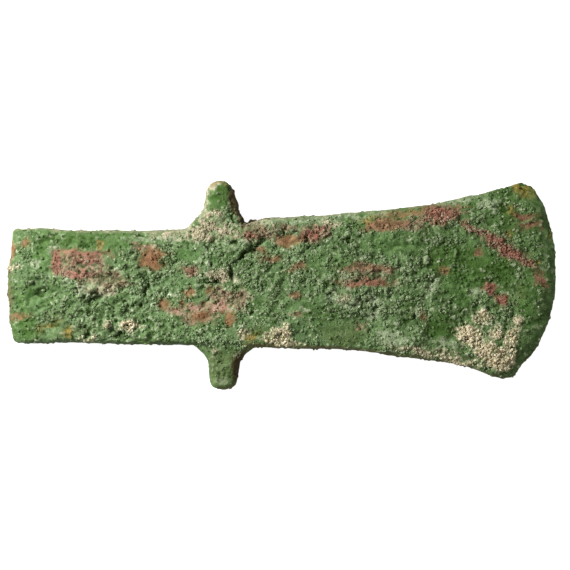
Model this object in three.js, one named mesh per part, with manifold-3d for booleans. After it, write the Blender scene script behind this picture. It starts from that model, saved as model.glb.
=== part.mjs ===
// A cast bronze trunnion axe head, lying on its flat face: a slab with a narrow butt, two side lugs that stop
// it in its haft, and a blade that flares to a curved cutting edge. It is one casting, so it is one solid.
//
// Millimetres. +X runs from the butt to the cutting edge, +Y across the axe, +Z up out of the face that is
// on top. The origin is on the resting plane, below the middle of the bounding box.
import * as THREE from "three";
import { mergeVertices } from "three/addons/utils/BufferGeometryUtils.js";
import Module from "manifold-3d";

const wasm = await Module();
wasm.setup();

// ---------------------------------------------------------------- driving dimensions

const LENGTH = 160;
const BUTT_X = -LENGTH / 2;
const EDGE_X = LENGTH / 2;

// Half widths at a few stations: the long sides run straight along the butt, then flare to the corners.
const UPPER_SIDE = [
  [BUTT_X, 15.6], [-72, 16.5], [-62, 16.0], [-32, 16.1], [-9, 18.9], [14, 20.7], [38, 22.8], [52, 25.3],
  [62, 27.8], [69, 29.9],
];
const LOWER_SIDE = [
  [BUTT_X, -16.6], [-74, -17.1], [-62, -16.8], [-47, -17.6], [-34, -17.4], [-7, -17.9], [5, -18.6],
  [20, -18.9], [35, -20.9], [52, -23.4], [60, -26.2], [67, -28.4],
];

// The butt end is a shallow arc, bruised into scallops.
const BUTT_BULGE = 1.6;
const BUTT_CREST_Y = -0.8;
const SCALLOP_PITCH = 7;
const SCALLOP_DEPTH = 0.45;
const SCALLOP_CREST_Y = 4.4;

// The cutting edge is an arc, flatter above its crest than below, with a round upper corner and a nicked
// lower one.
const EDGE_RADIUS = { upper: 58, lower: 43 };
const EDGE_CREST_Y = 3.2;
const UPPER_CORNER = { y: 29.9, reach: 6.5, setBack: 3.9 };
const LOWER_CORNER = { y: -28.4, reach: 1.6, setBack: 1.6 };
const CORNER_NICK = { y: -23.2, width: 1.9, depth: 0.9 };

// Height of the upper face above the resting plane, along the middle of the axe.
const CREST_HEIGHT = [
  [BUTT_X, 5.4], [-62, 7.1], [-38, 8.5], [-17, 9.4], [10, 9.0], [38, 7.4], [58, 5.8], [EDGE_X, 4.6],
];
const CROWN = 0.9; // how far the upper face falls from the middle to its long sides
const EDGE_TOP = 2.3; // upper lip of the cutting edge
const EDGE_UNDER = 1.1; // lower lip of the cutting edge, clear of the resting plane
const BEVEL_WIDTH = 5.2; // the ground bevel along the cutting edge
const UNDER_BEVEL_X = 42; // the underside is flat up to here, then rises to the cutting edge
const BUTT_ROUND = 3.5; // the upper face turns down over this length at the butt
const BUTT_DROP = 0.9;

// The sides bulge between the two faces, so each face is set in from the outline.
const SIDE_INSET = 1.1;
const UNDER_INSET = 1.3;
const CHAMFER = { from: -4, full: 30, inset: 3.0, drop: 1.1 }; // wide worn chamfer on the blade's upper side
const END_INSET = 0.7;

// The lugs: x of the axis at the root, how far the tip leans from it, half widths at tip and root, the length
// of the rounded tip, and how far the fillet at the root spreads towards the butt and towards the edge.
const LUG_TIP_Y = 30.6;
const UPPER_LUG = {
  x: -17.4, lean: -0.6, tipHalf: 3.5, rootHalf: 5.9, round: 3.6, buttFlare: 4.2, edgeFlare: 2.0,
};
const LOWER_LUG = {
  x: -16.6, lean: -0.4, tipHalf: 3.6, rootHalf: 5.1, round: 2.0, buttFlare: 4.6, edgeFlare: 5.0,
};
const LUG_LENGTH = 11.5; // tip to root
const LUG_SINK = 9; // how far the lug's own solid runs on inside the slab
const FILLET_FROM = 8; // depth below the tip where the fillet starts, and where it is full
const FILLET_FULL = 14.5;
const LUG_HALF_THICK = 3.7;
const LUG_CENTRE_Z = 4.15;
const LUG_SQUARENESS = 2.7; // exponent of the lug's section: 2 is an ellipse, more is squarer

// Corrosion that changes the form. Each is an oval: centre, half sizes, turn in degrees, height or depth.
const SWELLINGS = [
  { name: "crust on the butt", x: -58, y: 3.5, along: 10, across: 6, turn: -12, height: 1.0 },
  { name: "crust at the upper lug", x: -18, y: 15, along: 11, across: 4.5, turn: 0, height: 0.8 },
  { name: "crust across the waist", x: -22, y: 5.5, along: 9, across: 5, turn: 10, height: 0.7 },
  { name: "blister behind the chamfer", x: 38, y: 17, along: 14, across: 3.6, turn: 8, height: 0.6 },
  { name: "crust in mid blade", x: 22, y: -4.5, along: 12, across: 6, turn: -15, height: 0.6 },
  { name: "wave by the lower side", x: 33, y: -12, along: 10, across: 3.5, turn: -25, height: 0.5 },
  { name: "earth on the lower corner", x: 61, y: -19, along: 11, across: 7, turn: -30, height: 0.9 },
  { name: "earth by the lower lug", x: -1, y: -14.5, along: 5, across: 3, turn: 0, height: 0.7 },
  { name: "pit near the butt end", x: -71.5, y: -0.5, along: 4, across: 3, turn: 40, height: -1.0 },
  { name: "pit under the butt crust", x: -54.5, y: -4.5, along: 5, across: 2.6, turn: 15, height: -0.9 },
  { name: "cleft by the upper lug", x: -7.5, y: 9.5, along: 8, across: 1.8, turn: 45, height: -1.1 },
  { name: "hollow beside the cleft", x: 4, y: 10.5, along: 8, across: 4.5, turn: -6, height: -0.6 },
  { name: "hollow at the upper corner", x: 62, y: 21, along: 4.5, across: 3, turn: 50, height: -0.7 },
  { name: "hollow above the earth", x: 57, y: -8, along: 6, across: 4, turn: 30, height: -0.6 },
];
const LUMP_SIZE = 6.5; // pitch of the even lumpiness of the upper face
const LUMP_HEIGHT = 0.34;
const RIM_LUMP_SIZE = 3.1; // pitch of the small dents along the outline
const RIM_LUMP_DEPTH = 0.22;
const HOLLOW_SIZE = 9; // pitch of the shallow hollows of the underside
const HOLLOW_DEPTH = 0.7;

// A smooth land on the butt, where the haft bears.
const HAFT_SEAT = { x: -45, y: -8.5, radius: 4.2, fade: 3.2, z: 7.7 };

// Cells of the slab's mesh: along, across, and up its sides.
const CELLS_ALONG = 82;
const CELLS_ACROSS = 22;
const CELLS_UP = 4;
const LUG_RINGS = 14;
const LUG_SIDES = 20;

// ---------------------------------------------------------------- curves and noise

const lerp = THREE.MathUtils.lerp;
const clamp = THREE.MathUtils.clamp;
const rise = THREE.MathUtils.smoothstep; // rise(value, from, to) goes smoothly from 0 to 1

// A smooth curve y(x) through a few [x, y] stations, level beyond its ends.
function through(stations) {
  const samples = new THREE.SplineCurve(stations.map(([x, y]) => new THREE.Vector2(x, y))).getPoints(300);
  return (x) => {
    const after = samples.findIndex((p) => p.x >= x);
    if (after < 0) return samples.at(-1).y;
    if (after === 0) return samples[0].y;
    const [a, b] = [samples[after - 1], samples[after]];
    return lerp(a.y, b.y, (x - a.x) / (b.x - a.x));
  };
}

// A number from -1 to 1 for each corner of a square lattice, the same at every build.
function scatter(i, j) {
  const wave = Math.sin(i * 127.1 + j * 311.7) * 43758.5453;
  return 2 * (wave - Math.floor(wave)) - 1;
}

// Smooth noise from -1 to 1, one lump to each unit cell.
function lumps(x, y) {
  const [i, j] = [Math.floor(x), Math.floor(y)];
  const [s, t] = [rise(x - i, 0, 1), rise(y - j, 0, 1)];
  const near = lerp(scatter(i, j), scatter(i + 1, j), s);
  const far = lerp(scatter(i, j + 1), scatter(i + 1, j + 1), s);
  return lerp(near, far, t);
}

// Height that one swelling adds at a point: a smooth dome, zero outside its oval.
function dome({ x: cx, y: cy, along, across, turn, height }, x, y) {
  const [c, s] = [Math.cos(THREE.MathUtils.degToRad(turn)), Math.sin(THREE.MathUtils.degToRad(turn))];
  const a = ((x - cx) * c + (y - cy) * s) / along;
  const b = ((y - cy) * c - (x - cx) * s) / across;
  return height * (1 - rise(Math.hypot(a, b), 0, 1));
}

// ---------------------------------------------------------------- the slab

const upperSide = through(UPPER_SIDE);
const lowerSide = through(LOWER_SIDE);
const crestHeight = through(CREST_HEIGHT);
const CORNER_X = UPPER_SIDE.at(-1)[0];

function buttEnd(y) {
  const bulge = BUTT_BULGE * ((y - BUTT_CREST_Y) / UPPER_SIDE[0][1]) ** 2;
  const scallop = 0.5 - 0.5 * Math.cos((2 * Math.PI * (y - SCALLOP_CREST_Y)) / SCALLOP_PITCH);
  return BUTT_X + bulge + SCALLOP_DEPTH * scallop;
}

// How far a round corner sets the edge back at height y, as a quarter ellipse.
function cornerSetBack({ y: cornerY, reach, setBack }, y) {
  const into = clamp(1 - Math.abs(cornerY - y) / reach, 0, 1);
  return setBack * (1 - Math.sqrt(1 - into * into));
}

function cuttingEdge(y) {
  const radius = y > EDGE_CREST_Y ? EDGE_RADIUS.upper : EDGE_RADIUS.lower;
  const arc = radius - Math.sqrt(radius ** 2 - (y - EDGE_CREST_Y) ** 2);
  const corners = cornerSetBack(UPPER_CORNER, y) + cornerSetBack(LOWER_CORNER, y);
  const nick = CORNER_NICK.depth * Math.exp(-(((y - CORNER_NICK.y) / CORNER_NICK.width) ** 2));
  return EDGE_X - arc - corners - nick;
}

// Lumps, swellings and pits of the corroded face, fading to nothing on the haft seat.
function relief(x, y) {
  const [a, b] = [x / LUMP_SIZE, y / LUMP_SIZE];
  const even = LUMP_HEIGHT * (lumps(a, b) + 0.5 * lumps(2 * a, 2 * b));
  return SWELLINGS.reduce((height, swelling) => height + dome(swelling, x, y), even);
}

// The crowned face: t runs from -1 on the lower side to 1 on the upper, toEdge and toButt are distances back
// from the two ends.
function upperFace(x, y, t, toEdge, toButt) {
  const chamfer = CHAMFER.drop * rise(x, CHAMFER.from, CHAMFER.full) * rise(t, 0.72, 1);
  const body = crestHeight(x) - CROWN * t * t - chamfer - BUTT_DROP * (1 - rise(toButt, 0, BUTT_ROUND));
  const calm = rise(toEdge, 0.5, 9) * (1 - 0.7 * rise(Math.abs(t), 0.8, 1));
  const bevel = EDGE_TOP + (body - EDGE_TOP) * Math.sin((Math.PI / 2) * clamp(toEdge / BEVEL_WIDTH, 0, 1));
  const rough = bevel + calm * relief(x, y);
  const away = Math.hypot(x - HAFT_SEAT.x, y - HAFT_SEAT.y) - HAFT_SEAT.radius;
  return lerp(HAFT_SEAT.z, rough, rise(away, 0, HAFT_SEAT.fade));
}

// The face it lies on: flat, with shallow hollows between the high spots, and rising to the cutting edge.
function underFace(x, y, toEdge) {
  const fromSeat = Math.hypot(x - HAFT_SEAT.x, y - HAFT_SEAT.y) - HAFT_SEAT.radius;
  const hollow = HOLLOW_DEPTH * Math.max(0, lumps(x / HOLLOW_SIZE + 40, y / HOLLOW_SIZE) - 0.15);
  const lift = rise(x, UNDER_BEVEL_X, EDGE_X + 8) + 0.35 * (1 - rise(toEdge, 0, BEVEL_WIDTH));
  return hollow * rise(fromSeat, 0, HAFT_SEAT.fade) * rise(toEdge, 2, 12) + EDGE_UNDER * lift;
}

// Moves a point of the unit box (each coordinate 0 to 1) to its place on the slab.
function placeOnSlab(u, v, w) {
  const crowdedV = lerp(v, 0.5 - 0.5 * Math.cos(Math.PI * v), 0.55); // finer cells near the long sides
  const t = 2 * crowdedV - 1;
  const endY = lerp(LOWER_CORNER.y, UPPER_CORNER.y, crowdedV);
  const startY = lerp(LOWER_SIDE[0][1], UPPER_SIDE[0][1], crowdedV);
  const [start, end] = [buttEnd(startY), cuttingEdge(endY)];
  const x = lerp(start, end, lerp(u, Math.sin((Math.PI / 2) * u), 0.25)); // finer cells near the edge
  const station = Math.min(x, CORNER_X);
  const top = upperSide(station) + RIM_LUMP_DEPTH * lumps(x / RIM_LUMP_SIZE, 3.3);
  const bottom = lowerSide(station) + RIM_LUMP_DEPTH * lumps(x / RIM_LUMP_SIZE, 8.6);
  const y = lerp(bottom, top, crowdedV);

  // Between the faces the sides and the ends bulge out to the outline.
  const bulge = Math.abs(2 * w - 1) ** 2.4;
  const upper = w > 0.5;
  const chamferInset = (CHAMFER.inset - SIDE_INSET) * rise(x, CHAMFER.from, CHAMFER.full);
  const upperInset = SIDE_INSET + (upper && t > 0 ? chamferInset : 0);
  const inset = bulge * (upper ? upperInset : UNDER_INSET) * t * Math.abs(t) ** 3;
  const endInset = bulge * END_INSET * (rise(u, 0.94, 1) - (1 - rise(u, 0, 0.06)));
  const [toEdge, toButt] = [end - x, x - start];
  const height = lerp(underFace(x, y, toEdge), upperFace(x, y, t, toEdge, toButt), w);
  return [x - endInset, y - inset, height];
}

// A box of many cells, each of its corners moved by place(u, v, w).
function shapedBox(place) {
  const geometry = new THREE.BoxGeometry(1, 1, 1, CELLS_ALONG, CELLS_ACROSS, CELLS_UP);
  const corners = geometry.getAttribute("position");
  for (let i = 0; i < corners.count; i++) {
    corners.setXYZ(i, ...place(corners.getX(i) + 0.5, corners.getY(i) + 0.5, corners.getZ(i) + 0.5));
  }
  return geometry;
}

// ---------------------------------------------------------------- the lugs

// Half width of a lug at a depth below its tip: a rounded tip, then a taper to the root.
function lugHalfWidth({ tipHalf, rootHalf, round }, depth) {
  const roundness = Math.sqrt(1 - (1 - clamp(depth / round, 0, 1)) ** 2);
  return roundness * lerp(tipHalf, rootHalf, clamp(depth / LUG_LENGTH, 0, 1));
}

// A lug that points along +Y from the middle of the slab: a turned peg, squared up, flattened and flared.
function lugGeometry(lug) {
  const profile = [new THREE.Vector2(0, LUG_TIP_Y - LUG_LENGTH - LUG_SINK)];
  for (let ring = 0; ring < LUG_RINGS; ring++) {
    const share = 1 - ring / LUG_RINGS;
    const depth = (LUG_LENGTH + LUG_SINK) * lerp(share, share * share, 0.6); // rings crowd at the tip
    profile.push(new THREE.Vector2(lugHalfWidth(lug, depth), LUG_TIP_Y - depth));
  }
  profile.push(new THREE.Vector2(0, LUG_TIP_Y));
  const geometry = new THREE.LatheGeometry(profile, LUG_SIDES, Math.PI / LUG_SIDES);
  const corners = geometry.getAttribute("position");
  for (let i = 0; i < corners.count; i++) {
    const [x, y, z] = [corners.getX(i), corners.getY(i), corners.getZ(i)];
    const radius = Math.hypot(x, z);
    const angle = Math.atan2(z, x);
    const squared = (value) => Math.sign(value) * Math.abs(value) ** (2 / LUG_SQUARENESS);
    const flare = x < 0 ? lug.buttFlare : lug.edgeFlare;
    const fillet = radius > 0 ? flare * rise(LUG_TIP_Y - y, FILLET_FROM, FILLET_FULL) ** 1.5 : 0;
    const lean = lug.lean * rise(y, LUG_TIP_Y - LUG_LENGTH, LUG_TIP_Y);
    const wide = (radius + fillet) * squared(Math.cos(angle));
    const thick = Math.min(1, radius / lug.tipHalf) * LUG_HALF_THICK * squared(Math.sin(angle));
    corners.setXYZ(i, wide + lean, y, thick);
  }
  return geometry;
}

// ---------------------------------------------------------------- one casting

// A closed geometry as a solid that can be joined.
function solid(geometry) {
  const bare = geometry.clone();
  bare.deleteAttribute("normal");
  bare.deleteAttribute("uv");
  const merged = mergeVertices(bare, 1e-4);
  const vertProperties = merged.getAttribute("position").array;
  return new wasm.Manifold(new wasm.Mesh({ numProp: 3, vertProperties, triVerts: merged.index.array }));
}

function geometryOf(joined) {
  const { vertProperties, triVerts } = joined.getMesh();
  const geometry = new THREE.BufferGeometry();
  geometry.setAttribute("position", new THREE.BufferAttribute(vertProperties, 3));
  geometry.setIndex(new THREE.BufferAttribute(triVerts, 1));
  return geometry;
}

function axeGeometry() {
  const upperLug = lugGeometry(UPPER_LUG).translate(UPPER_LUG.x, 0, LUG_CENTRE_Z);
  const lowerLug = lugGeometry(LOWER_LUG).scale(1, -1, -1).translate(LOWER_LUG.x, 0, LUG_CENTRE_Z);
  const casting = solid(shapedBox(placeOnSlab)).add(solid(upperLug)).add(solid(lowerLug));
  const geometry = geometryOf(casting);
  geometry.computeBoundingBox();
  const { min, max } = geometry.boundingBox;
  geometry.translate(-(min.x + max.x) / 2, -(min.y + max.y) / 2, -min.z);
  geometry.computeVertexNormals();
  return geometry;
}

const patina = new THREE.MeshStandardMaterial({ color: 0x4c7446, roughness: 0.72, metalness: 0.15 });
patina.flatShading = true;

const axeHead = new THREE.Mesh(axeGeometry(), patina);
axeHead.name = "axe_head";

const axe = new THREE.Group();
axe.add(axeHead);

export default axe;
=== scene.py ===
# %% [markdown]
# # A corroded bronze axe head
# The real object is one casting: a flat slab with a narrow butt, a lug on each side that stopped it in
# its haft, and a blade that flares to a curved edge. Three thousand years in the ground have covered it
# with a crust of green grains, red copper oxide and earth. The frame brings the casting as a plain
# solid at its real size. This script dresses it: first the crust as real geometry, then the colours,
# then the light.

# %% Load the frame
import math

import bmesh
import bpy
import numpy as np
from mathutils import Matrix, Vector, noise


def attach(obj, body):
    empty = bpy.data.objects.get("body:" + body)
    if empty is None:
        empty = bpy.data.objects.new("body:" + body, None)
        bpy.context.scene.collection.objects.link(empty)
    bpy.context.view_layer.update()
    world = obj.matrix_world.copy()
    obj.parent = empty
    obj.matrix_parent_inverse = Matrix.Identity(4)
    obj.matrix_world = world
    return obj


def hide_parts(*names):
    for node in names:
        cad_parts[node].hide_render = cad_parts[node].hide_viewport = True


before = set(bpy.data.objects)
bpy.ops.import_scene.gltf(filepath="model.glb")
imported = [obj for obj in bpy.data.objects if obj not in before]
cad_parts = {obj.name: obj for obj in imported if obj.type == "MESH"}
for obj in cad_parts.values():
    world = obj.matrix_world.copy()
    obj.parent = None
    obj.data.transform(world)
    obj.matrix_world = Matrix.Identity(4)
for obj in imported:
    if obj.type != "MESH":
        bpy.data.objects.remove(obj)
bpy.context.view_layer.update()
MM = 0.001

# %% [markdown]
# ## An even skin over the casting
# The solid is made of facets about two millimetres wide, too coarse for grains of crust. Subdividing
# them would keep their long slivers at the lugs. A voxel remesh of a merged copy gives even squares
# instead, and a little smoothing takes away the steps that the voxels leave. The upper face is then
# split once more, because it carries the grains that show best. The copy replaces the casting, which
# itself is left alone.

# %% Remesh a merged copy
SKIN_STEP = 0.70 * MM


def merged_copy(cad_object, name):
    """The CAD object's loose triangles as one mesh whose corners are shared."""
    loose = bmesh.new()
    loose.from_mesh(cad_object.data)
    bmesh.ops.remove_doubles(loose, verts=loose.verts, dist=0.001 * MM)
    mesh = bpy.data.meshes.new(name)
    loose.to_mesh(mesh)
    loose.free()
    return mesh


def remeshed(mesh, step):
    """A new mesh of even squares, step wide, over a closed mesh."""
    holder = bpy.data.objects.new("holder", mesh)
    bpy.context.collection.objects.link(holder)
    even = holder.modifiers.new("even_squares", "REMESH")
    even.mode = "VOXEL"
    even.voxel_size = step
    graph = bpy.context.evaluated_depsgraph_get()
    squares = bpy.data.meshes.new_from_object(holder.evaluated_get(graph))
    bpy.data.objects.remove(holder)
    return squares


skin_mesh = remeshed(merged_copy(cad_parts["axe_head"], "merged_casting"), SKIN_STEP)
print("squares:", len(skin_mesh.polygons))

# %% Smooth it and split the face that shows
UNDERSIDE_TILT = -0.35  # faces that look further down than this stay coarse
EDGE_ZONE = 76.5  # beyond this x the thin cutting edge shows the voxels' steps, so it is smoothed more, mm
EDGE_MIDDLE = 3.2  # y of the foremost point of the cutting edge, mm
EDGE_SAG = 0.01  # how fast the edge curves back from there, mm for each square millimetre
SKIN_ROUNDS, EDGE_ROUNDS = 2, 5  # rounds of smoothing


def behind_the_tip(y):
    """How far the cutting edge lies behind its foremost point at that y, all in mm."""
    return EDGE_SAG * (y - EDGE_MIDDLE) ** 2


def smooth(form, verts, rounds):
    """Moves the vertices half way to the middle of their neighbours, again and again."""
    axes = {"use_axis_x": True, "use_axis_y": True, "use_axis_z": True}
    for _ in range(rounds):
        bmesh.ops.smooth_vert(form, verts=verts, factor=0.5, **axes)


skin = bmesh.new()
skin.from_mesh(skin_mesh)
smooth(skin, skin.verts, SKIN_ROUNDS)
smooth(skin, [v for v in skin.verts if v.co.x / MM > EDGE_ZONE - behind_the_tip(v.co.y / MM)], EDGE_ROUNDS)
skin.normal_update()
upper_edges = [e for e in skin.edges if any(f.normal.z > UNDERSIDE_TILT for f in e.link_faces)]
bmesh.ops.subdivide_edges(skin, edges=upper_edges, cuts=1, use_grid_fill=True)
bmesh.ops.triangulate(skin, faces=[f for f in skin.faces if len(f.verts) > 4])
skin.normal_update()
points = np.array([v.co for v in skin.verts]) / MM
normals = np.array([v.normal for v in skin.verts])
triangles = sum(len(f.verts) - 2 for f in skin.faces)
print("skin points:", len(points), "triangles:", triangles)

# %% [markdown]
# ## Noise and patches
# The crust isn't the same all over. Coarse grains, smooth green skin, bare red oxide and earth each
# have their places. One way is to paint them on a texture, but then geometry and colour would need the
# same picture. Here each kind of crust is a short list of ovals, named and placed in millimetres,
# whose outlines are made ragged by noise. The distance to them is kept on every point of the mesh,
# so that the relief and the colours both follow the same patches.

# %% Noise helpers
def waves(places, size, seed=0.0):
    """Soft noise from about -1 to 1 at each place, with one lump to each size."""
    return np.array([noise.noise(place) for place in (places / size + seed).tolist()])


def layered_waves(places, size, seed=0.0, octaves=3):
    """Soft noise with ever finer lumps on top of it, each half as wide and half as high."""
    return sum(waves(places, size / 2**n, seed + 7.1 * n) / 2**n for n in range(octaves))


def billows(places, size, seed=0.0, octaves=2):
    """Rounded heaps with sharp creases between them, like the head of a cauliflower, from 0 to about 1."""
    return sum(np.abs(waves(places, size / 2**n, seed + 3.3 * n)) * 1.6 / 2**n for n in range(octaves))


def cobbles(places, size, seed=0.0):
    """Grains packed like cobbles: each place's height, from 0 in the joints to 1, and a tone per grain."""
    tops, tones = [], []
    for place in (places / size + seed).tolist():
        distances, centres = noise.voronoi(place)
        tops.append(1.0 - min(1.0, distances[0] / 0.75) ** 2)
        tones.append(noise.cell(centres[0] * 9.7))
    return np.array(tops), np.array(tones)


def ramp(values, low, high):
    """0 below low, 1 above high, smooth between."""
    share = np.clip((values - low) / (high - low), 0.0, 1.0)
    return share * share * (3.0 - 2.0 * share)


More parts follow.
